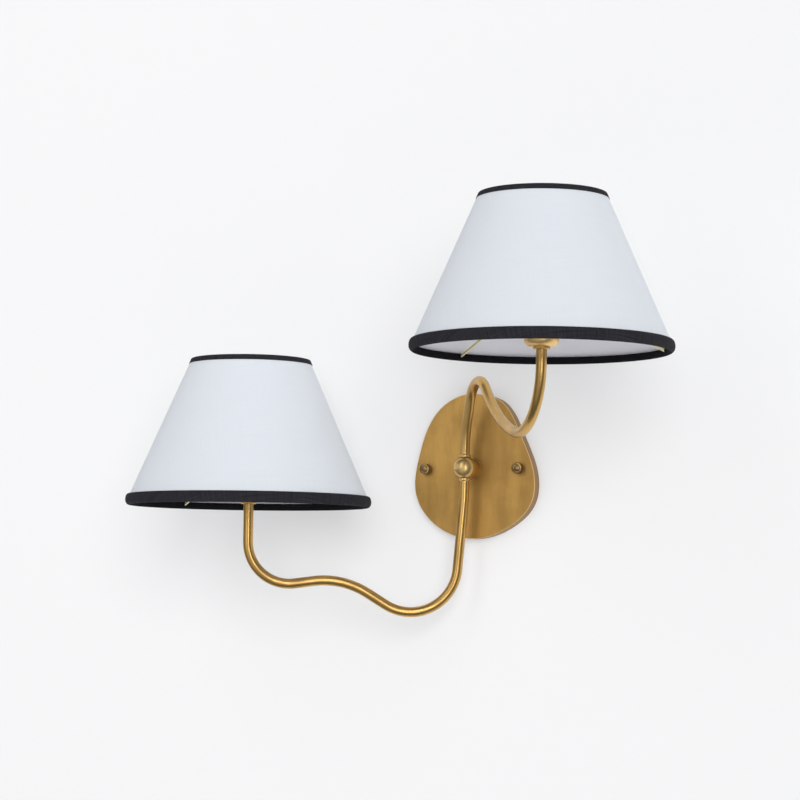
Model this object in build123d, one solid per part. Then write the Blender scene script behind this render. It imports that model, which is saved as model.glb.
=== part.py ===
"""Double arm wall sconce: an egg-shaped backplate with a ball hub, from which two
bent brass tubes swing, each with a tapered lined shade on a cup lampholder.

Millimetres. The wall is the plane Y = 0 and the fitting stands out along -Y.
+X is to the right as the plate is seen from the room, and +Z is up.
The origin is on the wall, behind the centre of the ball hub.
"""
from build123d import *
from math import atan2, cos, radians, sin, sqrt
import os

# Backplate: a shallow dish pressed from sheet brass
PLATE_DEPTH = 13.0
PLATE_WALL = 1.3
PLATE_EDGE_BREAK = 1.0
INSET_POINTS = 24
PLATE_OUTLINE = [
    (4, 79.6), (-19, 76.5), (-42, 60), (-62, 14), (-65.3, -26), (-40, -61),
    (2.9, -73.8), (45, -59.5), (66.5, -37), (69.7, -6.9), (55.2, 33.5), (30, 72.4),
]

# Crossbar behind the plate, with the two studs that the thumb nuts close on
BAR_LENGTH = 120.0
BAR_WIDTH = 20.0
BAR_THICKNESS = 2.0
BAR_CENTRE_R = 18.0
BAR_CABLE_HOLE_R = 10.0
BOX_SCREW_SPACING = 76.6
BOX_SLOT_LENGTH = 12.0
BOX_SLOT_R = 2.3
STUD_SPACING = 105.2
STUD_R = 2.0
STUD_REACH = 19.0
STUD_BOSS_R = 4.5
STUD_BOSS_HEIGHT = 2.0
JAM_NUT_ACROSS = 7.0
JAM_NUT_THICKNESS = 2.4
EARTH_SCREW_AT = (-9.9, -9.9)
EARTH_SCREW_R = 1.6
EARTH_HEAD_R = 3.2
EARTH_HEAD_HEIGHT = 2.0
EARTH_SLOT_WIDTH = 0.8
BAR_CORNER_R = 4.0

# Thumb nuts on the plate's face
THUMB_SHOULDER_R = 4.0
THUMB_SHOULDER_LENGTH = 2.6
THUMB_HEAD_R = 6.0
THUMB_HEAD_LENGTH = 4.5
THUMB_DOME = 1.8
THUMB_BREAK = 0.5

# Ball hub, its flange on the plate and the hollow stem that joins them
BALL_OUT = 35.0
BALL_R = 12.3
BALL_CAVITY_R = 7.5
BALL_CAVITY_HALF = 6.9
BALL_FLAT = 10.9
BALL_BACK = 10.7
FLANGE_R = 11.3
FLANGE_THICKNESS = 2.6
FLANGE_BREAK = 0.8
NECK_R = 10.3
NECK_END = 27.2
BALL_SEAT_R = 6.6
STEM_R = 5.0
STEM_BORE_R = 3.6
STEM_END = 7.2
STEM_TAIL = 4.5
STEM_NUT_ACROSS = 15.0
STEM_NUT_THICKNESS = 3.2
WASHER_R = 9.5
WASHER_THICKNESS = 1.0

# Swivel between the ball and each tube
COLLAR_R = 6.2
COLLAR_HEIGHT = 2.6
COLLAR_BREAK = 0.9
SWIVEL_GAP = 0.4
SPIGOT_R = 4.25
SPIGOT_END = 5.1
CLIP_GROOVE = 5.6
CLIP_THICKNESS = 0.8
CLIP_R = 5.3
CLIP_BORE_R = 3.9
CLIP_MOUTH = 3.0
WIRE_WAY_R = 3.0
TUBE_PLUG_LENGTH = 6.0

# Arms: bent tube. Points are (reach from the hub axis, height above the ball's centre)
TUBE_R = 5.25
TUBE_WALL = 1.0
UPPER_BEARING = 309.8
UPPER_REACH = 242.1
UPPER_SHADE_HEIGHT = 101.2
UPPER_BENDS = [(0, 32), (33.5, 109), (111, 41.5), (UPPER_REACH, 7.2)]
UPPER_RADII = [70, 33, 195, 65.3]
LOWER_BEARING = 210.4
LOWER_REACH = 225.8
LOWER_SHADE_HEIGHT = -42.5
LOWER_BENDS = [(0, -30), (13.5, -186), (126.9, -116.2), (LOWER_REACH, -130)]
LOWER_RADII = [250, 49.3, 85.3, 43.2]

# Lampholder group. Heights are above the plane of the shade's bottom ring
SEAT = 1.0
SEAT_WASHER_R = 8.3
SEAT_WASHER_THICKNESS = 2.6
SEAT_WASHER_BREAK = 0.6
CUP_R = 17.0
CUP_CORNER = 7.0
CUP_WALL = 1.1
CUP_RIM = 46.0
TUBE_NUT_ACROSS = 15.0
TUBE_NUT_THICKNESS = 4.0
TUBE_END = 11.0
HOLDER_BODY_R = 15.5
HOLDER_FOOT = 12.0
HOLDER_POCKET_TOP = 24.0
HOLDER_POCKET_R = 11.5
CONTACT_FLOOR = 30.0
CONTACT_RECESS_R = 9.25
SHELL_SEAT = 34.5
HOLDER_FLANGE_R = 18.4
HOLDER_FLANGE_THICKNESS = 2.0
HOLDER_NECK_R = 16.2
HOLDER_TOP = 62.0
HOLDER_BREAK = 0.6
SHELL_BORE_R = 13.25
SHELL_WALL = 0.45
SHELL_MOUTH = 60.5
CONTACT_WIDTH = 5.0
CONTACT_THICKNESS = 0.4
CONTACT_RISE = 3.2

# Shade: 10 inch bottom, 5 inch top, with its wire rings and three-armed spider
SHADE_BOTTOM_R = 127.0
SHADE_TOP_R = 61.5
SHADE_HEIGHT = 150.7
COVER_THICKNESS = 0.8
RING_WIRE_R = 1.2
SPIDER_WIRE_R = 1.5
SPIDER_HUB_BORE_R = 16.8
SPIDER_HUB_R = 21.5
SPIDER_HUB_THICKNESS = 1.5
SPIDER_TURN = 32.0
SPIDER_END_HEIGHT = 3.0
RING_NUT_R = 20.3
RING_NUT_HEIGHT = 6.5
RING_NUT_BREAK = 1.2
TRIM_THICKNESS = 0.8
BOTTOM_TRIM_OUTSIDE = 9.8
BOTTOM_TRIM_INSIDE = 5.4
TOP_TRIM_DEEP = 5.1

# Clearances
FIT = 0.05
SEAM = 0.1
STUD_PLAY = 0.3

SPIDER_ARMS = 3
BASE = (Align.CENTER, Align.CENTER, Align.MIN)
SHADE_LEAN = atan2(SHADE_BOTTOM_R - SHADE_TOP_R, SHADE_HEIGHT)
SHADE_SLANT = sqrt((SHADE_BOTTOM_R - SHADE_TOP_R) ** 2 + SHADE_HEIGHT**2)
OUT_FROM_WALL = Rot(90, 0, 0)


def turned(*profile):
    """A lathe-turned piece: a closed (radius, height) profile spun round the Z axis."""
    section = make_face(Plane.XZ * Polyline(*profile, close=True))
    return revolve(section, Axis.Z)


def drilled(radius, low, high):
    """The round space that a drill of this radius takes out between two heights."""
    return Pos(0, 0, low) * Cylinder(radius, high - low, align=BASE)


def hex_nut(across_flats, thickness, bore_r):
    """A plain hexagon nut standing on the XY plane."""
    blank = extrude(RegularPolygon(across_flats / 2, 6, major_radius=False), thickness)
    return blank - drilled(bore_r, -1, thickness + 1)


def pair(solid, spacing):
    """The same fastener at both ends of a horizontal spacing."""
    return Compound([Pos(side * spacing / 2, 0, 0) * solid for side in (-1, 1)])


# ---------------------------------------------------------------- wall side


def inset(loop, distance):
    """A smooth loop that runs a fixed distance inside a counterclockwise one."""
    along = [step / INSET_POINTS for step in range(INSET_POINTS)]
    inward = [Vector(-(loop % at).Y, (loop % at).X) * distance for at in along]
    return Spline(*[loop @ at + move for at, move in zip(along, inward)], periodic=True)


def backplate():
    """Egg-shaped dish, open to the wall, with a broken front edge and three holes."""
    rim = Spline(*PLATE_OUTLINE, periodic=True)
    blank = extrude(Plane.XZ * make_face(rim), PLATE_DEPTH)
    front_edge = blank.edges().group_by(Axis.Y)[0]
    blank = fillet(front_edge, PLATE_EDGE_BREAK)
    hollow = extrude(Plane.XZ * make_face(inset(rim, PLATE_WALL)), PLATE_DEPTH - PLATE_WALL)
    dish = blank - hollow - OUT_FROM_WALL * drilled(STEM_R + FIT, 0, PLATE_DEPTH + 1)
    for side in (-1, 1):
        dish -= Pos(side * STUD_SPACING / 2, 0, 0) * OUT_FROM_WALL * drilled(
            STUD_R + STUD_PLAY, 0, PLATE_DEPTH + 1
        )
    return dish


def crossbar():
    """Flat steel bar with a round middle, box-screw slots and two tapped stud bosses."""
    middle = Circle(BAR_CENTRE_R)
    outline = SlotOverall(BAR_LENGTH, BAR_WIDTH) + middle
    corners = [v for v in outline.vertices() if abs(v.X) < BAR_CENTRE_R]
    outline = fillet(corners, BAR_CORNER_R)
    outline -= Circle(BAR_CABLE_HOLE_R)
    outline -= Pos(*EARTH_SCREW_AT) * Circle(EARTH_SCREW_R + FIT)
    for side in (-1, 1):
        slot_at = Pos(side * BOX_SCREW_SPACING / 2, 0)
        outline -= slot_at * SlotOverall(BOX_SLOT_LENGTH, 2 * BOX_SLOT_R)
    bar = extrude(outline, BAR_THICKNESS)
    for side in (-1, 1):
        stud_at = Pos(side * STUD_SPACING / 2, 0, 0)
        bar += stud_at * Cylinder(STUD_BOSS_R, BAR_THICKNESS + STUD_BOSS_HEIGHT, align=BASE)
        bar -= stud_at * drilled(STUD_R + FIT, -1, BAR_THICKNESS + STUD_BOSS_HEIGHT + 1)
    return OUT_FROM_WALL * bar


def plate_studs():
    """Two threaded rods that stand out of the crossbar and pass through the plate."""
    stud = drilled(STUD_R, 0, STUD_REACH)
    stud = chamfer(stud.edges().sort_by(Axis.Z)[-1], 0.2 * STUD_R)
    return OUT_FROM_WALL * pair(stud, STUD_SPACING)


def stud_jam_nuts():
    """Small hexagon nuts that lock the studs on the crossbar's bosses."""
    nut = Pos(0, 0, BAR_THICKNESS + STUD_BOSS_HEIGHT) * hex_nut(
        JAM_NUT_ACROSS, JAM_NUT_THICKNESS, STUD_R + FIT
    )
    return OUT_FROM_WALL * pair(nut, STUD_SPACING)


def earth_screw():
    """Slotted pan-head earthing screw in the crossbar's middle."""
    head_top = BAR_THICKNESS + EARTH_HEAD_HEIGHT
    shank = drilled(EARTH_SCREW_R, 0, BAR_THICKNESS)
    head = drilled(EARTH_HEAD_R, BAR_THICKNESS, head_top)
    head = chamfer(head.edges().sort_by(Axis.Z)[-1], 0.4 * EARTH_HEAD_HEIGHT)
    slot = Pos(0, 0, head_top) * Box(3 * EARTH_HEAD_R, EARTH_SLOT_WIDTH, 2 * EARTH_SLOT_WIDTH)
    return OUT_FROM_WALL * Pos(*EARTH_SCREW_AT, 0) * (shank + head - slot)


def thumb_nuts():
    """Domed round nuts, closed by hand on the studs to hold the plate to the wall."""
    shoulder_top = PLATE_DEPTH + THUMB_SHOULDER_LENGTH
    head_top = shoulder_top + THUMB_HEAD_LENGTH
    dome_r = (THUMB_HEAD_R**2 + THUMB_DOME**2) / (2 * THUMB_DOME)
    profile = Polyline(
        (0, PLATE_DEPTH), (THUMB_SHOULDER_R, PLATE_DEPTH), (THUMB_SHOULDER_R, shoulder_top),
        (THUMB_HEAD_R - THUMB_BREAK, shoulder_top), (THUMB_HEAD_R, shoulder_top + THUMB_BREAK),
        (THUMB_HEAD_R, head_top),
    )
    dome = RadiusArc((THUMB_HEAD_R, head_top), (0, head_top + THUMB_DOME), -dome_r)
    axis_line = Line((0, head_top + THUMB_DOME), (0, PLATE_DEPTH))
    nut = revolve(make_face(Plane.XZ * Curve([profile, dome, axis_line])), Axis.Z)
    nut -= drilled(STUD_R + FIT, PLATE_DEPTH - 1, STUD_REACH + STUD_PLAY)
    return OUT_FROM_WALL * pair(nut, STUD_SPACING)


# ---------------------------------------------------------------- hub


def hub_flange():
    """Round flange on the plate, with a thick neck that is dished for the ball to seat in."""
    face = PLATE_DEPTH + FLANGE_THICKNESS
    seat = BALL_OUT - BALL_BACK
    bore = STEM_R + FIT
    return OUT_FROM_WALL * turned(
        (bore, PLATE_DEPTH), (FLANGE_R, PLATE_DEPTH), (FLANGE_R, face - FLANGE_BREAK),
        (FLANGE_R - FLANGE_BREAK, face), (NECK_R, face), (NECK_R, NECK_END), (BALL_SEAT_R, seat), (bore, seat),
    )


def hub_stem():
    """Hollow threaded stem from behind the plate into the back of the ball."""
    stem = drilled(STEM_R, STEM_TAIL, BALL_OUT - STEM_END)
    return OUT_FROM_WALL * (stem - drilled(STEM_BORE_R, 0, BALL_OUT))


def stem_washer():
    """Washer between the plate's inside face and the stem's nut."""
    seat = PLATE_DEPTH - PLATE_WALL
    disc = drilled(WASHER_R, seat - WASHER_THICKNESS, seat)
    return OUT_FROM_WALL * (disc - drilled(STEM_R + FIT, 0, PLATE_DEPTH))


def stem_nut():
    """Hexagon nut that pulls ball, flange and plate together."""
    back = PLATE_DEPTH - PLATE_WALL - WASHER_THICKNESS - STEM_NUT_THICKNESS
    return OUT_FROM_WALL * Pos(0, 0, back) * hex_nut(STEM_NUT_ACROSS, STEM_NUT_THICKNESS, STEM_R + FIT)


def hub_ball():
    """Ball with a turned cavity, flat where the collars and the flange meet it, and bored for them."""
    ball = Sphere(BALL_R) - drilled(BALL_CAVITY_R, -BALL_CAVITY_HALF, BALL_CAVITY_HALF)
    ball &= Box(4 * BALL_R, 4 * BALL_R, 2 * BALL_FLAT)
    ball &= Pos(0, BALL_BACK - 2 * BALL_R, 0) * Box(4 * BALL_R, 4 * BALL_R, 4 * BALL_R)
    ball -= drilled(SPIGOT_R + FIT, -BALL_R, BALL_R)
    ball -= Rot(-90, 0, 0) * drilled(STEM_R + FIT, 0, BALL_R)
    return Pos(0, -BALL_OUT, 0) * ball


# ---------------------------------------------------------------- arms


def swivel_collar(up):
    """Turned collar: its spigot turns in the ball's bore and its plug fills the tube's end."""
    seat = BALL_FLAT + SWIVEL_GAP
    top = seat + COLLAR_HEIGHT
    plug = TUBE_R - TUBE_WALL - FIT
    collar = turned(
        (WIRE_WAY_R, SPIGOT_END), (SPIGOT_R, SPIGOT_END), (SPIGOT_R, CLIP_GROOVE - FIT),
        (CLIP_BORE_R - FIT, CLIP_GROOVE - FIT), (CLIP_BORE_R - FIT, CLIP_GROOVE + CLIP_THICKNESS + FIT),
        (SPIGOT_R, CLIP_GROOVE + CLIP_THICKNESS + FIT), (SPIGOT_R, seat), (COLLAR_R, seat),
        (COLLAR_R, top - COLLAR_BREAK), (COLLAR_R - COLLAR_BREAK, top), (plug, top),
        (plug, top + TUBE_PLUG_LENGTH), (WIRE_WAY_R, top + TUBE_PLUG_LENGTH),
    )
    return Pos(0, -BALL_OUT, 0) * (collar if up else mirror(collar, Plane.XY))


def swivel_clip(up):
    """Open retaining clip in the spigot's groove, inside the ball."""
    clip = drilled(CLIP_R, CLIP_GROOVE, CLIP_GROOVE + CLIP_THICKNESS) - drilled(CLIP_BORE_R, 0, BALL_R)
    clip -= Pos(0, CLIP_R, CLIP_GROOVE) * Box(CLIP_MOUTH, 2 * CLIP_R, 4 * CLIP_THICKNESS)
    return Pos(0, -BALL_OUT, 0) * (clip if up else mirror(clip, Plane.XY))


def arm_tube(bearing, bends, radii, end):
    """Bent tube in one upright plane: straight runs joined by tangent bends."""
    up = bends[0][1] > 0
    start = (0, (1 if up else -1) * (BALL_FLAT + SWIVEL_GAP + COLLAR_HEIGHT))
    turn = radians(bearing)
    arm_plane = Plane(
        origin=(0, -BALL_OUT, 0), x_dir=(cos(turn), sin(turn), 0), z_dir=(sin(turn), -cos(turn), 0)
    )
    path = arm_plane * FilletPolyline(start, *bends, end, radius=radii)
    section = Plane(origin=path @ 0, z_dir=path % 0) * (Circle(TUBE_R) - Circle(TUBE_R - TUBE_WALL))
    return sweep(section, path=path)


# ---------------------------------------------------------------- lampholder group


def seat_washer():
    """Thick round washer that the cup stands on."""
    washer = drilled(SEAT_WASHER_R, SEAT, SEAT + SEAT_WASHER_THICKNESS)
    washer = chamfer(washer.edges().sort_by(Axis.Z)[0], SEAT_WASHER_BREAK)
    return washer - drilled(TUBE_R + FIT, 0, CUP_RIM)


def socket_cup():
    """Spun brass cup with a rounded foot, open at the top."""
    foot = SEAT + SEAT_WASHER_THICKNESS
    outside = drilled(CUP_R, foot, CUP_RIM)
    outside = fillet(outside.edges().sort_by(Axis.Z)[0], CUP_CORNER)
    inside = drilled(CUP_R - CUP_WALL, foot + CUP_WALL, CUP_RIM + 1)
    inside = chamfer(inside.edges().sort_by(Axis.Z)[0], 0.6 * CUP_CORNER)
    return outside - inside - drilled(TUBE_R + FIT, 0, CUP_RIM)


def tube_nut():
    """Hexagon nut on the tube's threaded end, clamping cup and washer."""
    floor = SEAT + SEAT_WASHER_THICKNESS + CUP_WALL
    return Pos(0, 0, floor) * hex_nut(TUBE_NUT_ACROSS, TUBE_NUT_THICKNESS, TUBE_R + FIT)


def lampholder():
    """Moulded lampholder body: terminal pocket below, screw-shell bore above."""
    flange_top = CUP_RIM + HOLDER_FLANGE_THICKNESS
    bore = SHELL_BORE_R + SHELL_WALL + FIT
    return turned(
        (0, HOLDER_POCKET_TOP), (HOLDER_POCKET_R, HOLDER_POCKET_TOP), (HOLDER_POCKET_R, HOLDER_FOOT),
        (HOLDER_BODY_R, HOLDER_FOOT), (HOLDER_BODY_R, CUP_RIM), (HOLDER_FLANGE_R, CUP_RIM),
        (HOLDER_FLANGE_R, flange_top), (HOLDER_NECK_R, flange_top), (HOLDER_NECK_R, HOLDER_TOP - HOLDER_BREAK),
        (HOLDER_NECK_R - HOLDER_BREAK, HOLDER_TOP), (bore, HOLDER_TOP), (bore, SHELL_SEAT),
        (CONTACT_RECESS_R, SHELL_SEAT), (CONTACT_RECESS_R, CONTACT_FLOOR), (0, CONTACT_FLOOR),
    )


def screw_shell():
    """Thin brass shell that takes a medium screw lamp base, with a turned-in foot."""
    outside = drilled(SHELL_BORE_R + SHELL_WALL, SHELL_SEAT, SHELL_MOUTH)
    bore = drilled(SHELL_BORE_R, SHELL_SEAT + SHELL_WALL, SHELL_MOUTH + 1)
    return outside - bore - drilled(CONTACT_RECESS_R, CONTACT_FLOOR, SHELL_MOUTH)


def centre_contact():
    """Springy bronze tongue bent up off the floor of the lampholder's recess."""
    rise = CONTACT_RISE
    skin = CONTACT_THICKNESS
    outline = Polyline(
        (-7, 0), (-2, 0), (1, rise), (5, rise), (5, rise + skin), (0.8, rise + skin), (-2.2, skin), (-7, skin),
        close=True,
    )
    tongue = extrude(make_face(Plane.XZ * outline), CONTACT_WIDTH / 2, both=True)
    return Pos(0, 0, CONTACT_FLOOR) * tongue


def shade_ring_nut():
    """Threaded ring that clamps the shade's spider on the lampholder's flange."""
    low = CUP_RIM + HOLDER_FLANGE_THICKNESS + SPIDER_HUB_THICKNESS
    high = low + RING_NUT_HEIGHT
    bore = HOLDER_NECK_R + FIT
    return turned(
        (bore, low), (RING_NUT_R, low), (RING_NUT_R, high - RING_NUT_BREAK),
        (RING_NUT_R - RING_NUT_BREAK, high), (bore, high),
    )


# ---------------------------------------------------------------- shade


def on_slant(along, outward):
    """Point at a distance up the shade's slanted side and a distance out from it."""
    return (
        SHADE_BOTTOM_R - along * sin(SHADE_LEAN) + outward * cos(SHADE_LEAN),
        along * cos(SHADE_LEAN) + outward * sin(SHADE_LEAN),
    )


def shade_cover():
    """Tapered drum of lined fabric on a stiff sheet, open at top and bottom."""
    inner = -COVER_THICKNESS
    return turned(on_slant(0, 0), on_slant(SHADE_SLANT, 0), on_slant(SHADE_SLANT, inner), on_slant(0, inner))


def ring_wire(along):
    """Wire ring just inside the cover, at a distance up its slant, drawn with six flats."""
    centre = on_slant(along, -COVER_THICKNESS - SEAM - RING_WIRE_R)
    section = Plane.XZ * Pos(*centre) * RegularPolygon(RING_WIRE_R, 6)
    return revolve(section, Axis.Z)


def folded_tape(edge, away, outside_deep, inside_deep):
    """Black tape folded over the cover's edge and its wire ring. The edge is a distance up
    the slant, away is 1 if the free edge is the upper one, and the depths are upright."""
    skin = TRIM_THICKNESS
    against = -COVER_THICKNESS - SEAM
    inside = against - 2 * RING_WIRE_R - SEAM
    outer_end = edge - away * outside_deep / cos(SHADE_LEAN)
    inner_end = edge - away * inside_deep / cos(SHADE_LEAN)
    past_wire = edge - away * (2 * RING_WIRE_R + SEAM)
    fold = edge + away * SEAM
    return turned(
        on_slant(outer_end, SEAM + skin), on_slant(fold + away * skin, SEAM + skin),
        on_slant(fold + away * skin, inside - skin), on_slant(past_wire, inside - skin),
        on_slant(inner_end, against - skin), on_slant(inner_end, against),
        on_slant(past_wire - away * skin, inside), on_slant(fold, inside),
        on_slant(fold, SEAM), on_slant(outer_end, SEAM),
    )


def spider_hub():
    """Flat ring that drops over the lampholder's neck."""
    low = CUP_RIM + HOLDER_FLANGE_THICKNESS
    ring = drilled(SPIDER_HUB_R, low, low + SPIDER_HUB_THICKNESS)
    return ring - drilled(SPIDER_HUB_BORE_R, 0, HOLDER_TOP)


def spider_arms(first_bearing):
    """Three straight wires from the hub ring down to the inside of the bottom edging."""
    hub_middle = CUP_RIM + HOLDER_FLANGE_THICKNESS + SPIDER_HUB_THICKNESS / 2
    edging = -COVER_THICKNESS - 2 * SEAM - 2 * RING_WIRE_R - TRIM_THICKNESS
    edging_r = on_slant(SPIDER_END_HEIGHT, edging)[0]
    start = (SPIDER_HUB_R + SPIDER_WIRE_R, hub_middle)
    fall = atan2(hub_middle - SPIDER_END_HEIGHT, edging_r - start[0])
    clear = SEAM + SPIDER_WIRE_R * (sin(fall) + cos(fall) * sin(SHADE_LEAN))
    end = (edging_r - clear, SPIDER_END_HEIGHT)
    path = Plane.XZ * Line(start, end)
    wire = sweep(Plane(origin=path @ 0, z_dir=path % 0) * Circle(SPIDER_WIRE_R), path=path)
    step = 360 / SPIDER_ARMS
    return Compound([Rot(0, 0, first_bearing + step * arm) * wire for arm in range(SPIDER_ARMS)])


# ---------------------------------------------------------------- assembly


def wall_side():
    """Everything that stays put when an arm is swung."""
    return {
        "crossbar": crossbar(),
        "plate_studs": plate_studs(),
        "stud_jam_nuts": stud_jam_nuts(),
        "earth_screw": earth_screw(),
        "backplate": backplate(),
        "thumb_nuts": thumb_nuts(),
        "hub_flange": hub_flange(),
        "hub_stem": hub_stem(),
        "stem_washer": stem_washer(),
        "stem_nut": stem_nut(),
        "hub_ball": hub_ball(),
    }


def shade_group():
    """Lampholder and shade on their own axis, above the plane of the bottom ring."""
    return {
        "seat_washer": seat_washer(),
        "socket_cup": socket_cup(),
        "tube_nut": tube_nut(),
        "lampholder": lampholder(),
        "screw_shell": screw_shell(),
        "centre_contact": centre_contact(),
        "shade_ring_nut": shade_ring_nut(),
        "spider_hub": spider_hub(),
        "spider_arms": spider_arms(SPIDER_TURN),
        "bottom_ring_wire": ring_wire(RING_WIRE_R + SEAM),
        "top_ring_wire": ring_wire(SHADE_SLANT - RING_WIRE_R - SEAM),
        "shade_cover": shade_cover(),
        "bottom_trim": folded_tape(0, -1, BOTTOM_TRIM_OUTSIDE, BOTTOM_TRIM_INSIDE),
        "top_trim": folded_tape(SHADE_SLANT, 1, TOP_TRIM_DEEP, TOP_TRIM_DEEP),
    }


def arm(side, bearing, reach, height, bends, radii):
    """One arm with its swivel, tube, lampholder and shade, named after its side."""
    turn = radians(bearing)
    shade_axis = Pos(reach * cos(turn), reach * sin(turn) - BALL_OUT, height)
    pieces = {
        "swivel_collar": swivel_collar(height > 0),
        "swivel_clip": swivel_clip(height > 0),
        "arm_tube": arm_tube(bearing, bends, radii, (reach, height + TUBE_END)),
    }
    for name, solid in shade_group().items():
        pieces[name] = shade_axis * solid
    return {f"{side}_{name}": solid for name, solid in pieces.items()}


sconce = wall_side()
sconce |= arm("upper", UPPER_BEARING, UPPER_REACH, UPPER_SHADE_HEIGHT, UPPER_BENDS, UPPER_RADII)
sconce |= arm("lower", LOWER_BEARING, LOWER_REACH, LOWER_SHADE_HEIGHT, LOWER_BENDS, LOWER_RADII)

os.makedirs("parts", exist_ok=True)
for node, solid in sconce.items():
    export_step(solid, f"parts/{node}.step")
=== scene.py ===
"""Double arm wall sconce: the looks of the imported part, in metres, in the part's own frame.

The wall is the plane Y = 0 and the fitting stands out along -Y, with +Z up.
"""

from math import atan2, copysign, cos, dist, hypot, pi, radians, sin

import bmesh
import bpy
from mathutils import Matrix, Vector, noise


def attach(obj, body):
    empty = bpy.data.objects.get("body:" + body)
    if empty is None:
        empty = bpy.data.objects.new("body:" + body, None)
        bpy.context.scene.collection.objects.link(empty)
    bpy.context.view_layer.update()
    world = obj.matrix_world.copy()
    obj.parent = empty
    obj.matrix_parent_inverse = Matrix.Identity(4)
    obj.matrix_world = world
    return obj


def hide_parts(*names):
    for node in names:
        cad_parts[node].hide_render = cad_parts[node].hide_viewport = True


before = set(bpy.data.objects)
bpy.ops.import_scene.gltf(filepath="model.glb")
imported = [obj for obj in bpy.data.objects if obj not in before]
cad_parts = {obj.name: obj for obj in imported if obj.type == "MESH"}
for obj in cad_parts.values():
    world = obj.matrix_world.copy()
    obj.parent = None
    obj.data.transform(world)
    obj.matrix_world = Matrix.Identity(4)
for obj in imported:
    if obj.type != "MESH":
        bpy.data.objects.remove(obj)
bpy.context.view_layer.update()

# ---------------------------------------------------------------- backplate
# The egg-shaped plate is pressed from sheet brass, brushed upright, then aged and lacquered.
# Its front edge carries a painted highlight, a thin bright line, and its side painted shade.


class Wire:
    """An output socket of a shader node. Python maths on it adds Math nodes."""

    def __init__(self, finish, socket):
        self.finish = finish
        self.socket = socket

    def maths(self, operation, *values):
        return self.finish.add("ShaderNodeMath", {"operation": operation}, dict(enumerate(values)))

    def __add__(self, other):
        return self.maths("ADD", self, other)

    def __rsub__(self, other):
        return self.maths("SUBTRACT", other, self)

    def __mul__(self, other):
        return self.maths("MULTIPLY", self, other)

    __radd__ = __add__
    __rmul__ = __mul__

    def sine(self):
        return self.maths("SINE", self)

    def larger(self, other):
        return self.maths("MAXIMUM", self, other)


class Finish:
    """A node-based material: constants are set on its shader and varying values are fed to it."""

    def __init__(self, name, constants, owner=None, shader="Principled BSDF"):
        self.material = owner or bpy.data.materials.new(name)
        self.material.use_nodes = True
        self.tree = self.material.node_tree
        self.shader = self.tree.nodes[shader]
        for socket, value in constants.items():
            self.shader.inputs[socket].default_value = value

    def add(self, kind, settings=None, sockets=None, output=0):
        """A node of this type, with its settings, socket values or links, as its output."""
        node = self.tree.nodes.new(kind)
        for setting, value in (settings or {}).items():
            setattr(node, setting, value)
        for socket, value in (sockets or {}).items():
            if isinstance(value, Wire):
                self.tree.links.new(value.socket, node.inputs[socket])
            else:
                node.inputs[socket].default_value = value
        return Wire(self, node.outputs[output])

    def feed(self, socket, wire):
        self.tree.links.new(wire.socket, self.shader.inputs[socket])

    def axis(self, letter, vector):
        """The X, Y or Z of a vector."""
        return self.add("ShaderNodeSeparateXYZ", sockets={0: vector}, output=letter)

    def stretch(self, vector, by):
        return self.add("ShaderNodeVectorMath", {"operation": "MULTIPLY"}, {0: vector, 1: by})

    def place(self, by=(1, 1, 1)):
        """Coordinates on the piece, stretched along each axis."""
        return self.stretch(self.add("ShaderNodeTexCoord", output="Object"), by)

    def noise(self, place, scale, detail=3, rough=0.5):
        sockets = {"Vector": place, "Scale": scale, "Detail": detail, "Roughness": rough}
        return self.add("ShaderNodeTexNoise", sockets=sockets)

    def between(self, value, low, high, to_low=0.0, to_high=1.0):
        """A value spread smoothly from one range to another."""
        ranges = {0: value, 1: low, 2: high, 3: to_low, 4: to_high}
        return self.add("ShaderNodeMapRange", {"interpolation_type": "SMOOTHSTEP"}, ranges)

    def blend(self, amount, first, second):
        """One colour turning into another."""
        colours = {0: amount, 6: first, 7: second}
        return self.add("ShaderNodeMix", {"data_type": "RGBA"}, colours, output=2)

    def bump(self, height, distance):
        return self.add("ShaderNodeBump", sockets={"Height": height, "Distance": distance})


STREAKS_ACROSS = 60
STREAKS_ALONG = 12
CLOUD_SHARE = 0.6
LINE_SPREAD = (0.35, 0.65)
LINE_SHADE = 0.80
LINE_ROUGHNESS = 0.15


def aged_brass(name, clean, aged, brush, rough, cloud, cloud_scale, grain, line_depth=0.000002):
    """Brass with fine brushed lines and soft brown clouds of age. brush is how closely the lines
    follow each other along each axis, and cloud is the range of noise in which age sets in."""
    finish = Finish(name, {"Metallic": 1.0, "IOR": 1.5})
    lines = finish.noise(finish.place(brush), 1.0, detail=4, rough=0.6)
    broader = tuple(STREAKS_ACROSS * fine / max(brush) + STREAKS_ALONG for fine in brush)
    streaks = finish.noise(finish.place(broader), 1.0, detail=3)
    clouds = finish.noise(finish.place(), cloud_scale, detail=5, rough=0.55)
    age = finish.between(CLOUD_SHARE * clouds + (1 - CLOUD_SHARE) * streaks, *cloud)
    tint = finish.blend(age, clean, aged)
    darker = tuple(LINE_SHADE * channel for channel in clean[:3]) + (1,)
    tint = finish.blend(finish.between(lines, *LINE_SPREAD, 0.0, grain), tint, darker)
    finish.feed("Base Color", tint)
    finish.feed("Roughness", finish.between(age, 0, 1, *rough) + LINE_ROUGHNESS * grain * lines)
    finish.feed("Normal", finish.bump(lines, line_depth))
    return finish


plate_brass = aged_brass(
    "plate_brass", clean=(0.70, 0.42, 0.125, 1), aged=(0.53, 0.315, 0.10, 1), brush=(1300, 1300, 60),
    rough=(0.50, 0.58), cloud=(0.36, 0.66), cloud_scale=18, grain=0.35,
)
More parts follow.
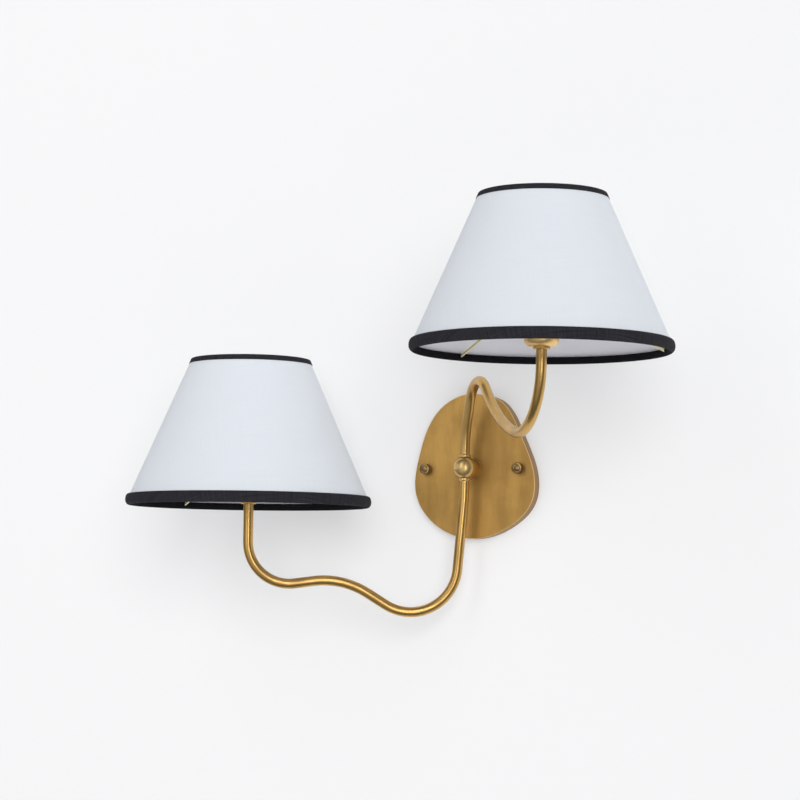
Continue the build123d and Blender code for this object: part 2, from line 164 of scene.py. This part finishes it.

# Facing the room or not tells side, edge and front apart: painted shade on the side, painted highlight on
# the edge.
OFF_SIDE = (0.05, 0.30)
ON_EDGE = (0.25, 0.6)
ON_FRONT = (0.9, 0.99)
PAINTED_SIDE_SHADE = (0.40, 0.255, 0.13, 1)
PAINTED_EDGE_HIGHLIGHT = (0.97, 0.72, 0.36, 1)
to_room = plate_brass.axis("Y", plate_brass.add("ShaderNodeNewGeometry", output="Normal")) * -1
edge = plate_brass.between(to_room, *ON_EDGE) * plate_brass.between(to_room, *ON_FRONT, 1, 0)
tint = Wire(plate_brass, plate_brass.shader.inputs["Base Color"].links[0].from_socket)
# Painted shade darkens the side, and a painted highlight brightens the front edge.
tint = plate_brass.blend(plate_brass.between(to_room, *OFF_SIDE, 1, 0), tint, PAINTED_SIDE_SHADE)
plate_brass.feed("Base Color", plate_brass.blend(edge, tint, PAINTED_EDGE_HIGHLIGHT))


def paint(finish, *names):
    """Gives CAD nodes, or pieces of this script, a finish in place of what they had."""
    for name in names:
        piece = bpy.data.objects[name]
        piece.data.materials.clear()
        piece.data.materials.append(finish.material)


paint(plate_brass, "backplate")

# ---------------------------------------------------------------- hub and swivels
# Ball, flange and collars are turned from brass bar, aged, then rubbed to a satin with almost
# no marks. The ball is held by a hollow stem through the plate.

turned_brass = aged_brass(
    "turned_brass", clean=(0.78, 0.54, 0.22, 1), aged=(0.56, 0.365, 0.13, 1), brush=(500, 500, 2400),
    rough=(0.32, 0.38), cloud=(0.36, 0.66), cloud_scale=30, grain=0.04, line_depth=0.0000001,
)
paint(turned_brass, "hub_ball", "hub_flange", "upper_swivel_collar", "lower_swivel_collar")

# ---------------------------------------------------------------- arms
# Each arm is drawn brass tube, bent cold, so its finish is smoother than the plate's, with
# faint long marks and a few darker patches where the lacquer caught the age.

tube_brass = aged_brass(
    "tube_brass", clean=(0.64, 0.395, 0.125, 1), aged=(0.46, 0.28, 0.095, 1), brush=(900, 900, 120),
    rough=(0.27, 0.33), cloud=(0.36, 0.70), cloud_scale=18, grain=0.06, line_depth=0.0000001,
)
paint(tube_brass, "upper_arm_tube", "lower_arm_tube", "upper_seat_washer", "lower_seat_washer")

# ---------------------------------------------------------------- socket cups
# The cups are spun from thin brass sheet, with the round marks of the spinning tool. Their brass
# is painted lighter than the tubes', as painted light where they sit in shadow under the shades.

# Painted light: lighter than the tube brass to make up for the shadow under the shades.
cup_brass = aged_brass(
    "cup_brass", clean=(0.90, 0.63, 0.27, 1), aged=(0.74, 0.50, 0.20, 1), brush=(260, 260, 1800),
    rough=(0.38, 0.44), cloud=(0.42, 0.68), cloud_scale=40, grain=0.2,
)
paint(cup_brass, "upper_socket_cup", "lower_socket_cup")

# ---------------------------------------------------------------- wall fixings
# Crossbar, studs, stem, clips and nuts are zinc-plated steel with a dull spangle; the earth
# screw has green lacquer, chipped here and there.

SPANGLES = 420
ZINC_PALE = (0.66, 0.66, 0.64, 1)
ZINC_DULL = (0.50, 0.50, 0.47, 1)
zinc = Finish("zinc_steel", {"Metallic": 1.0})
cells = {"Vector": zinc.place(), "Scale": SPANGLES}
spangle = zinc.add("ShaderNodeTexVoronoi", sockets=cells, output="Distance")
dull = zinc.noise(zinc.place(), scale=60, detail=4)
zinc.feed("Base Color", zinc.blend(dull, ZINC_PALE, ZINC_DULL))
zinc.feed("Roughness", 0.28 + 0.22 * spangle)
zinc.feed("Normal", zinc.bump(spangle, distance=0.00002))
paint(
    zinc, "crossbar", "plate_studs", "stud_jam_nuts", "hub_stem", "stem_washer", "stem_nut",
    "upper_swivel_clip", "lower_swivel_clip", "upper_tube_nut", "lower_tube_nut",
)

LACQUER_GREEN = (0.03, 0.26, 0.09, 1)
BARE_STEEL = (0.45, 0.42, 0.36, 1)
CHIPPED = (0.62, 0.68)
earth_green = Finish("earth_green", {"Metallic": 0.0, "Coat Weight": 0.4, "Coat Roughness": 0.15})
chips = earth_green.noise(earth_green.place(), scale=900, detail=3)
worn = earth_green.between(chips, *CHIPPED)
earth_green.feed("Base Color", earth_green.blend(worn, LACQUER_GREEN, BARE_STEEL))
earth_green.feed("Roughness", 0.35 + 0.2 * chips)
paint(earth_green, "earth_screw")

# ---------------------------------------------------------------- lampholders
# The holders and their ring nuts are moulded black phenolic, faintly mottled. The screw shell
# is rolled from bright brass strip and the tongue is springy bronze.

MOULDED_BLACK = (0.014, 0.013, 0.012, 1)
MOTTLED_BLACK = (0.035, 0.030, 0.028, 1)
phenolic = Finish("black_phenolic", {"IOR": 1.55})
mottle = phenolic.noise(phenolic.place(), scale=240, detail=5, rough=0.6)
phenolic.feed("Base Color", phenolic.blend(mottle, MOULDED_BLACK, MOTTLED_BLACK))
phenolic.feed("Roughness", 0.28 + 0.25 * mottle)
phenolic.feed("Normal", phenolic.bump(mottle, distance=0.00003))
paint(phenolic, "upper_lampholder", "lower_lampholder", "upper_shade_ring_nut", "lower_shade_ring_nut")

THREAD_PITCH = 0.0036
THREAD_DEPTH = 0.0006
STRIP_BRIGHT = (0.78, 0.58, 0.27, 1)
STRIP_TARNISHED = (0.60, 0.42, 0.20, 1)
contact = Finish("contact_brass", {"Metallic": 1.0})
thread = (contact.axis("Z", contact.place()) * (2 * pi / THREAD_PITCH)).sine()
tarnish = contact.noise(contact.place(), scale=150, detail=4)
contact.feed("Base Color", contact.blend(tarnish, STRIP_BRIGHT, STRIP_TARNISHED))
contact.feed("Roughness", 0.18 + 0.2 * tarnish)
contact.feed("Normal", contact.bump(thread, THREAD_DEPTH))
paint(contact, "upper_screw_shell", "lower_screw_shell", "upper_centre_contact", "lower_centre_contact")

# ---------------------------------------------------------------- shade frames
# Rings and spider are mild steel wire, welded and flash-plated a pale brass colour that is
# thin and greyer in patches.

PLATED_PALE = (0.95, 0.88, 0.56, 1)
PLATED_THIN = (0.88, 0.82, 0.55, 1)
THIN_PATCHES = (0.4, 0.65)
plated = Finish("plated_wire", {"Metallic": 1.0})
thin = plated.noise(plated.place(), scale=180, detail=4)
plated.feed("Base Color", plated.blend(plated.between(thin, *THIN_PATCHES), PLATED_PALE, PLATED_THIN))
plated.feed("Roughness", 0.24 + 0.2 * thin)
plated.feed("Normal", plated.bump(thin, distance=0.00004))
for wire in ("spider_hub", "spider_arms", "bottom_ring_wire", "top_ring_wire"):
    paint(plated, f"upper_{wire}", f"lower_{wire}")

# ---------------------------------------------------------------- thumb nuts
# Two round brass nuts close the plate on its studs. Each has straight knurling round its rim
# and a groove turned in its end, round a small button. They are aged darkest of all the brass.

dark_brass = aged_brass(
    "dark_brass", clean=(0.46, 0.30, 0.12, 1), aged=(0.16, 0.10, 0.045, 1), brush=(900, 2400, 900),
    rough=(0.26, 0.38), cloud=(0.40, 0.60), cloud_scale=260, grain=0.3,
)

STUD_SPACING = 0.1052
NUT_FOOT = -0.013
SHOULDER_R = 0.004
SHOULDER_LENGTH = 0.0026
HEAD_R = 0.006
HEAD_LENGTH = 0.0045
UNDERSIDE = 0.93
UNDERCUT = 0.0004
FACE_GROOVE = 0.0009
# The head is turned in steps: how far each goes out from the last, and how much wider it is.
HEAD_STEPS = (
    (0, HEAD_R / SHOULDER_R * UNDERSIDE), (UNDERCUT, 1 / UNDERSIDE), (HEAD_LENGTH - UNDERCUT, 1),
    (0.0007, 0.90), (0.0001, 0.84), (-FACE_GROOVE, 0.92), (0, 0.76), (FACE_GROOVE, 0.92),
    (0.0005, 0.72), (0.0001, 0.5),
)
KNURLS = 36
KNURL_MARGIN = 0.00009
KNURL_DEPTH = 0.00022
KNURLED_AREA = 1.4e-6
OUT_OF_SHOULDER = 1.2


def select_only(mesh_edit, wanted):
    """Selects the faces of an open edit mesh that a test picks."""
    for face in mesh_edit.faces:
        face.select_set(wanted(face))
    mesh_edit.select_flush_mode()


def thumb_nut(side):
    """One nut, turned in the -Y direction and knurled round its head."""
    bpy.ops.object.select_all(action="DESELECT")
    across = side * STUD_SPACING / 2
    bpy.ops.mesh.primitive_cylinder_add(
        vertices=2 * KNURLS, radius=SHOULDER_R, depth=SHOULDER_LENGTH,
        location=(across, NUT_FOOT - SHOULDER_LENGTH / 2, 0), rotation=(pi / 2, 0, 0),
    )
    nut = bpy.context.object
    nut.name = "thumb_nut_left" if side < 0 else "thumb_nut_right"
    bpy.ops.object.transform_apply(location=True, rotation=True, scale=True)
    bpy.ops.object.mode_set(mode="EDIT")
    bpy.ops.mesh.select_mode(type="FACE")
    select_only(bmesh.from_edit_mesh(nut.data), lambda face: face.normal.y < -0.9)
    for out, wider in HEAD_STEPS:
        bpy.ops.mesh.extrude_region_move(TRANSFORM_OT_translate={"value": (0, -out, 0)})
        bpy.ops.transform.resize(value=(wider, 1, wider), center_override=(across, 0, 0))

    def is_rim(face):
        middle = face.calc_center_median()
        off_axis = hypot(middle.x - across, middle.z)
        broad = face.calc_area() > KNURLED_AREA
        return abs(face.normal.y) < 0.1 and broad and off_axis > OUT_OF_SHOULDER * SHOULDER_R

    select_only(bmesh.from_edit_mesh(nut.data), is_rim)
    bpy.ops.mesh.inset(thickness=KNURL_MARGIN, depth=-KNURL_DEPTH, use_individual=True)
    bpy.ops.object.mode_set(mode="OBJECT")
    bpy.ops.object.shade_smooth_by_angle(angle=radians(32))
    return nut


for side in (-1, 1):
    nut = thumb_nut(side)
    paint(dark_brass, nut.name)
    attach(nut, "wall_mount")
    if side < 0:
        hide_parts("thumb_nuts")

# ---------------------------------------------------------------- shade covers
# Each cover is white cotton laminated on a stiff sheet, cut as part of a flat ring, rolled to
# a tapered drum and glued in an upright lap on the wall side. It can't sag between its wires.

HUB_OUT = 0.035
ARMS = {
    "upper": {"bearing": 309.8, "reach": 0.2421, "ring": 0.1012},
    "lower": {"bearing": 210.4, "reach": 0.2258, "ring": -0.0425},
}
BOTTOM_R = 0.127
TOP_R = 0.0615
SHADE_HEIGHT = 0.1507
LEAN = atan2(BOTTOM_R - TOP_R, SHADE_HEIGHT)
SLANT = hypot(BOTTOM_R - TOP_R, SHADE_HEIGHT)
APEX = BOTTOM_R / sin(LEAN)
SECTORS = 192
WALL_SIDE = pi / 2


def on_slant(along, outward):
    """(radius, height) at a distance up the slanted side and a distance out from it."""
    return (
        BOTTOM_R - along * sin(LEAN) + outward * cos(LEAN),
        along * cos(LEAN) + outward * sin(LEAN),
    )


def shade_axis(side):
    """Where a shade's upright axis meets the plane of its bottom ring."""
    turn = radians(ARMS[side]["bearing"])
    reach = ARMS[side]["reach"]
    return Vector((reach * cos(turn), reach * sin(turn) - HUB_OUT, ARMS[side]["ring"]))


def wrap(name, axis, profile, lift):
    """Cloth wrapped round an axis, from a closed profile of (along, outward) points on the slant.
    Each point is lifted off the slant by lift(turn, index). The UV map is the flat cut in
    metres, so the weave runs straight in the cloth."""
    count = len(profile)
    points = []
    faces = []
    for step in range(SECTORS):
        turn = WALL_SIDE + 2 * pi * step / SECTORS
        here, there = step * count, (step + 1) % SECTORS * count
        for index, (along, outward) in enumerate(profile):
            r, z = on_slant(along, outward + lift(turn, index))
            points.append(axis + Vector((r * cos(turn), r * sin(turn), z)))
            after = (index + 1) % count
            faces.append((here + index, there + index, there + after, here + after))
    mesh = bpy.data.meshes.new(name)
    mesh.from_pydata(points, [], faces)
    flat = mesh.uv_layers.new(name="flat_cut")
    for face in mesh.polygons:
        step = face.index // count
        for corner in face.loop_indices:
            point = mesh.loops[corner].vertex_index
            at = step + (point // count != step)
            fan = 2 * pi * at / SECTORS * sin(LEAN)
            reach = APEX - profile[point % count][0]
            flat.data[corner].uv = (reach * sin(fan), reach * cos(fan))
    mesh.update()
    piece = bpy.data.objects.new(name, mesh)
    bpy.context.scene.collection.objects.link(piece)
    edit = bmesh.new()
    edit.from_mesh(mesh)
    bmesh.ops.recalc_face_normals(edit, faces=edit.faces)
    edit.to_mesh(mesh)
    edit.free()
    bpy.ops.object.select_all(action="DESELECT")
    piece.select_set(True)
    bpy.context.view_layer.objects.active = piece
    bpy.ops.object.shade_smooth_by_angle(angle=radians(40))
    return piece


YARN_RUN = 18
YARN_SPREAD = (0.36, 0.64)


def woven(name, constants, pale, deep, pitch, depth, slub):
    """A plain weave on the flat cut: threads over and under, with thicker and darker yarns."""
    finish = Finish(name, constants)
    flat = finish.add("ShaderNodeUVMap", {"uv_map": "flat_cut"})
    warp, weft = [(finish.axis(letter, flat) * (2 * pi / pitch)).sine() for letter in "XY"]
    yarns = [
        finish.noise(finish.stretch(flat, by), 1.0, detail=2)
        for by in ((1 / pitch, YARN_RUN, 1), (YARN_RUN, 1 / pitch, 1))
    ]
    uneven = 0.5 * (yarns[0] + yarns[1])
    tone = finish.between(uneven, *YARN_SPREAD)
    finish.feed("Base Color", finish.blend(tone * slub, pale, deep))
    finish.feed("Roughness", 0.82 + 0.12 * uneven)
    finish.feed("Normal", finish.bump(warp * weft + 0.8 * uneven, depth))
    return finish


white_cloth = woven(
    "white_linen", {"Sheen Weight": 0.15, "Sheen Roughness": 0.5},
    pale=(0.81, 0.85, 0.90, 1), deep=(0.755, 0.795, 0.845, 1), pitch=0.0005, depth=0.00006, slub=0.5,
)
lining = woven(
    "shade_lining", {},
    pale=(0.87, 0.87, 0.92, 1), deep=(0.83, 0.83, 0.88, 1), pitch=0.0009, depth=0.00002, slub=0.4,
)

COVER_THICKNESS = 0.0008
COVER_START = 0.0025
COVER_ROWS = 10
LAP_WIDTH = 0.010
LAP_PROUD = 0.0003


def lap(turn, index):
    """Outside, the glued lap stands a little proud, where the drum was closed."""
    off = abs((turn - WALL_SIDE + pi) % (2 * pi) - pi) * BOTTOM_R
    return LAP_PROUD * (off < LAP_WIDTH / 2) * (index <= COVER_ROWS)


rows = [COVER_START + (SLANT - COVER_START) * row / COVER_ROWS for row in range(COVER_ROWS + 1)]
cover_profile = [(row, 0) for row in rows] + [(row, -COVER_THICKNESS) for row in reversed(rows)]
for side in ARMS:
    cover = wrap(f"{side}_cover_cloth", shade_axis(side), cover_profile, lap)
    paint(white_cloth, cover.name)
    cover.data.materials.append(lining.material)
    for face in cover.data.polygons:
        face.material_index = int(face.index % len(cover_profile) >= len(rows))
    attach(cover, f"{side}_arm")
    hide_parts(f"{side}_shade_cover")

# ---------------------------------------------------------------- black edging
# Ribbed black cotton tape is glued to both faces of the cover, folded flat over the top wire
# and rolled over soft wadding at the bottom. Its turned-in edge gathers in small tucks.

TAPE = 0.0005
GAP = 0.0001
RIB = 0.0008
RIB_DEPTH = 0.00008

black_tape = woven(
    "black_tape", {"Specular IOR Level": 0.12},
    pale=(0.031, 0.030, 0.036, 1), deep=(0.015, 0.015, 0.019, 1), pitch=RIB, depth=RIB_DEPTH, slub=0.9,
)
# Painted shade: the tape's turned-in part inside the shade is a darker copy of the same tape.
painted_shade_tape = woven(
    "painted_shade_tape", {"Specular IOR Level": 0.05},
    pale=(0.011, 0.011, 0.013, 1), deep=(0.007, 0.007, 0.008, 1), pitch=RIB, depth=RIB_DEPTH, slub=0.9,
)

WIRE_R = 0.0012
TOP_DEEP = 0.0051
FOLD_TAKES = 0.003


def folded_edge():
    """The top tape in section, from its outside hem over the wire to its inside hem and back
    along its inner face. The smallest offsets round its corners off."""
    hem = SLANT - TOP_DEEP / cos(LEAN)
    against = -COVER_THICKNESS - GAP
    wire_in = against - 2 * WIRE_R - GAP
    past = SLANT - (2 * WIRE_R + GAP)
    tip = SLANT + (GAP + TAPE)
    outer = [
        (hem, GAP), (hem, GAP + 0.8 * TAPE), (hem + 0.0006, GAP + TAPE), (SLANT - 0.0012, GAP + TAPE),
        (SLANT, GAP + 0.8 * TAPE), (tip - 0.0001, 0.0), (tip, against / 2), (tip, against - WIRE_R),
        (tip - 0.0004, wire_in - 0.3 * TAPE), (SLANT - 0.0008, wire_in - TAPE),
        (past, wire_in - 0.8 * TAPE), (past - 0.0014, (wire_in + against) / 2 - TAPE),
        (hem + 0.0012, against - TAPE), (hem, against - 0.8 * TAPE), (hem, against),
    ]
    inner = [
        (past - 0.0016, (wire_in + against) / 2), (past - 0.0004, wire_in), (SLANT, wire_in),
        (SLANT + GAP, against), (SLANT + GAP, GAP),
    ]
    return outer + inner


ROLL_SET_IN = 0.0036
ROLL_HEIGHT = 0.0035
ROLL_OUT = 0.0039
ROLL_IN = -0.0036
ROLL_DOWN = -0.0053
ROLL_UP_OUTSIDE = 0.0063
ROLL_UP_INSIDE = 0.0022
ROLL_STEPS = 7
ROLL_SKIN = 0.6 * TAPE
SHOULDER_FULLNESS = 0.7
HEM_OUTSIDE = 0.0104
HEM_INSIDE = 0.0062


def rolled_edge(skin):
    """The bottom tape in section, from its outside hem under the edge to its inside hem, in four
    oval quarters round one middle. skin is how deep in the roll the line lies."""
    quarters = (
        (ROLL_OUT, ROLL_UP_OUTSIDE), (ROLL_OUT, ROLL_DOWN), (ROLL_IN, ROLL_DOWN), (ROLL_IN, ROLL_UP_INSIDE),
    )
    points = [(HEM_OUTSIDE, GAP)]
    for index, (out, up) in enumerate(quarters):
        fullness = SHOULDER_FULLNESS if index == 0 else 1
        closing = index == len(quarters) - 1
        for step in range(ROLL_STEPS + closing):
            share = step / ROLL_STEPS
            turn = pi / 2 * (1 - share if index % 2 else share)
            across = (out - copysign(skin, out)) * sin(turn) ** fullness - ROLL_SET_IN
            height = ROLL_HEIGHT + (up - copysign(skin, up)) * cos(turn)
            along = height * cos(LEAN) - across * sin(LEAN)
            points.append((along, across * cos(LEAN) + height * sin(LEAN)))
    return points + [(HEM_INSIDE, -COVER_THICKNESS - GAP)]


TUCK_DEPTH = 0.00035
TUCK_SINK = 0.00012
TUCK_SCALE = 9
TUCKS_ROUND = 3.5
TUCKS_ALONG = 0.31


def tucks(gathered):
    """Small gathers in the tape's turned-in edge, at these points of its section."""
    def lift(turn, index):
        if index not in gathered:
            return 0
        around = Vector((TUCKS_ROUND * cos(turn), TUCKS_ROUND * sin(turn), TUCKS_ALONG * index))
        return TUCK_DEPTH * noise.noise(TUCK_SCALE * around) - TUCK_SINK
    return lift


roll = rolled_edge(0)
EDGES = {
    "bottom": {
        "profile": roll + rolled_edge(ROLL_SKIN)[-2:0:-1],
        "ring": BOTTOM_R,
        "width": sum(dist(here, there) for here, there in zip(roll, roll[1:])),
        "painted_shade_rows": range(2 * ROLL_STEPS + 1, len(roll)),
        "gathered": range(24, 30),
    },
    "top": {
        "profile": folded_edge(),
        "ring": TOP_R,
        "width": 2 * TOP_DEEP + 2 * WIRE_R + FOLD_TAKES,
        "painted_shade_rows": range(8, 14),
        "gathered": range(11, 14),
    },
}
for side in ARMS:
    for edge_name, edge in EDGES.items():
        profile = edge["profile"]
        tape = wrap(f"{side}_{edge_name}_tape", shade_axis(side), profile, tucks(edge["gathered"]))
        paint(black_tape, tape.name)
        tape.data.materials.append(painted_shade_tape.material)
        # The turned-in faces take the darker tape, as painted shade.
        for face in tape.data.polygons:
            face.material_index = int(face.index % len(profile) in edge["painted_shade_rows"])
        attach(tape, f"{side}_arm")
        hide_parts(f"{side}_{edge_name}_trim")
        2 * pi * edge["ring"]

# ---------------------------------------------------------------- wall
# A plain pale wall stands behind the light, seen from the room only. It stays clear of the
# backplate, which rests on it, and throws no shadow.

WALL_WHITE = (0.905, 0.905, 0.905, 1)
WALL_SIZE = 9.0
WALL_GAP = 0.0003
SHADOW_LIFT = 0.3


def ray(finish, kind):
    """1 where a ray of this kind meets the surface, and 0 elsewhere."""
    return finish.add("ShaderNodeLightPath", output=f"Is {kind} Ray")


wall_paint = Finish("wall_paint", {"Base Color": WALL_WHITE, "Roughness": 0.95, "Specular IOR Level": 0.0})

# Part of the wall's colour shows at its plain value, so that the fitting's shadow stays light.
seen = ray(wall_paint, "Camera").larger(ray(wall_paint, "Glossy").larger(ray(wall_paint, "Transmission")))
lit = Wire(wall_paint, wall_paint.shader.outputs[0])
plain = wall_paint.add("ShaderNodeEmission", sockets={"Color": WALL_WHITE, "Strength": 1.0})
lifted = wall_paint.add("ShaderNodeMixShader", sockets={0: SHADOW_LIFT * seen, 1: lit, 2: plain})

behind = wall_paint.add("ShaderNodeNewGeometry", output="Backfacing")
clear = wall_paint.add("ShaderNodeBsdfTransparent")
see_through = behind.larger(ray(wall_paint, "Shadow"))
surface = wall_paint.add("ShaderNodeMixShader", sockets={0: see_through, 1: lifted, 2: clear})
wall_paint.tree.links.new(surface.socket, wall_paint.tree.nodes["Material Output"].inputs["Surface"])

bpy.ops.object.select_all(action="DESELECT")
bpy.ops.mesh.primitive_plane_add(size=WALL_SIZE, location=(0, WALL_GAP, 0), rotation=(pi / 2, 0, 0))
wall = bpy.context.object
wall.name = "wall"
wall.data.materials.append(wall_paint.material)

# ---------------------------------------------------------------- light and camera
# A wide soft sun, low in front on the right, gives the soft shadows. Upright soft boxes give the
# long highlights in the brass, and one behind the wall lights the shades. The pale room is
# brighter from below, and the brass mirrors it darker at the sides than in front.

ROOM_TINT = (0.97, 0.98, 1, 1)
ROOM_LIGHT = 0.46
FLOOR_LIGHT = 0.85
TOWARDS_FLOOR = (0.1, 0.7)
SIDE_MIRRORED = 0.14
FRONT_MIRRORED = 0.58
TOWARDS_FRONT = (0.35, 0.90)
world = bpy.data.worlds.new("room")
bpy.context.scene.world = world
room = Finish("room", {"Strength": 1.0}, owner=world, shader="Background")
way = room.add("ShaderNodeTexCoord", output="Generated")
front = room.axis("Y", way) * -1
down = room.axis("Z", way) * -1
mirrored = ray(room, "Glossy")
level = (
    room.between(front, *TOWARDS_FRONT, SIDE_MIRRORED, FRONT_MIRRORED) * mirrored
    + room.between(down, *TOWARDS_FLOOR, ROOM_LIGHT, FLOOR_LIGHT) * (1 - mirrored)
)
room_colour = room.blend(level, (0, 0, 0, 1), ROOM_TINT)
room.feed("Color", room.blend(ray(room, "Camera"), room_colour, WALL_WHITE))


def add_lamp(name, kind, location, target, power):
    lamp = bpy.data.objects.new(name, bpy.data.lights.new(name, kind))
    lamp.data.energy = power
    lamp.location = location
    lamp.rotation_euler = (Vector(target) - lamp.location).to_track_quat("-Z", "Y").to_euler()
    bpy.context.scene.collection.objects.link(lamp)
    return lamp


def soft_box(name, location, target, width, height, power, lights_all):
    """A soft lamp with straight edges. It shows in the brass, and lights all else only if told."""
    lamp = add_lamp(name, "AREA", location, target, power)
    lamp.data.shape = "RECTANGLE"
    lamp.data.size = width
    lamp.data.size_y = height
    lamp.visible_diffuse = lights_all


ORIGIN = (0, 0, 0)
FITTING = (0, -0.1, 0)
sun = add_lamp("front_right", "SUN", location=(1.35, -2.64, 0.47), target=ORIGIN, power=1.45)
sun.data.angle = radians(32)
sun.visible_glossy = False
soft_box("tall_left", (-0.45, -2.1, 0.8), FITTING, width=0.6, height=2.2, power=6, lights_all=True)
soft_box("tall_right", (1.43, -2.29, 0.35), FITTING, width=0.28, height=2.6, power=16, lights_all=False)
soft_box("behind", (0.2, 1.6, 0.4), ORIGIN, width=1.6, height=1.6, power=9, lights_all=True)

camera_data = bpy.data.cameras.new("photo_view")
camera_data.lens = 108
camera_data.sensor_width = 36
camera = bpy.data.objects.new("photo_view", camera_data)
camera.location = (0.9602, -2.3605, -0.1302)
camera.rotation_euler = (radians(94.5626), radians(-0.7088), radians(23.9434))
bpy.context.scene.collection.objects.link(camera)
bpy.context.scene.camera = camera
bpy.context.scene.view_settings.view_transform = "Standard"
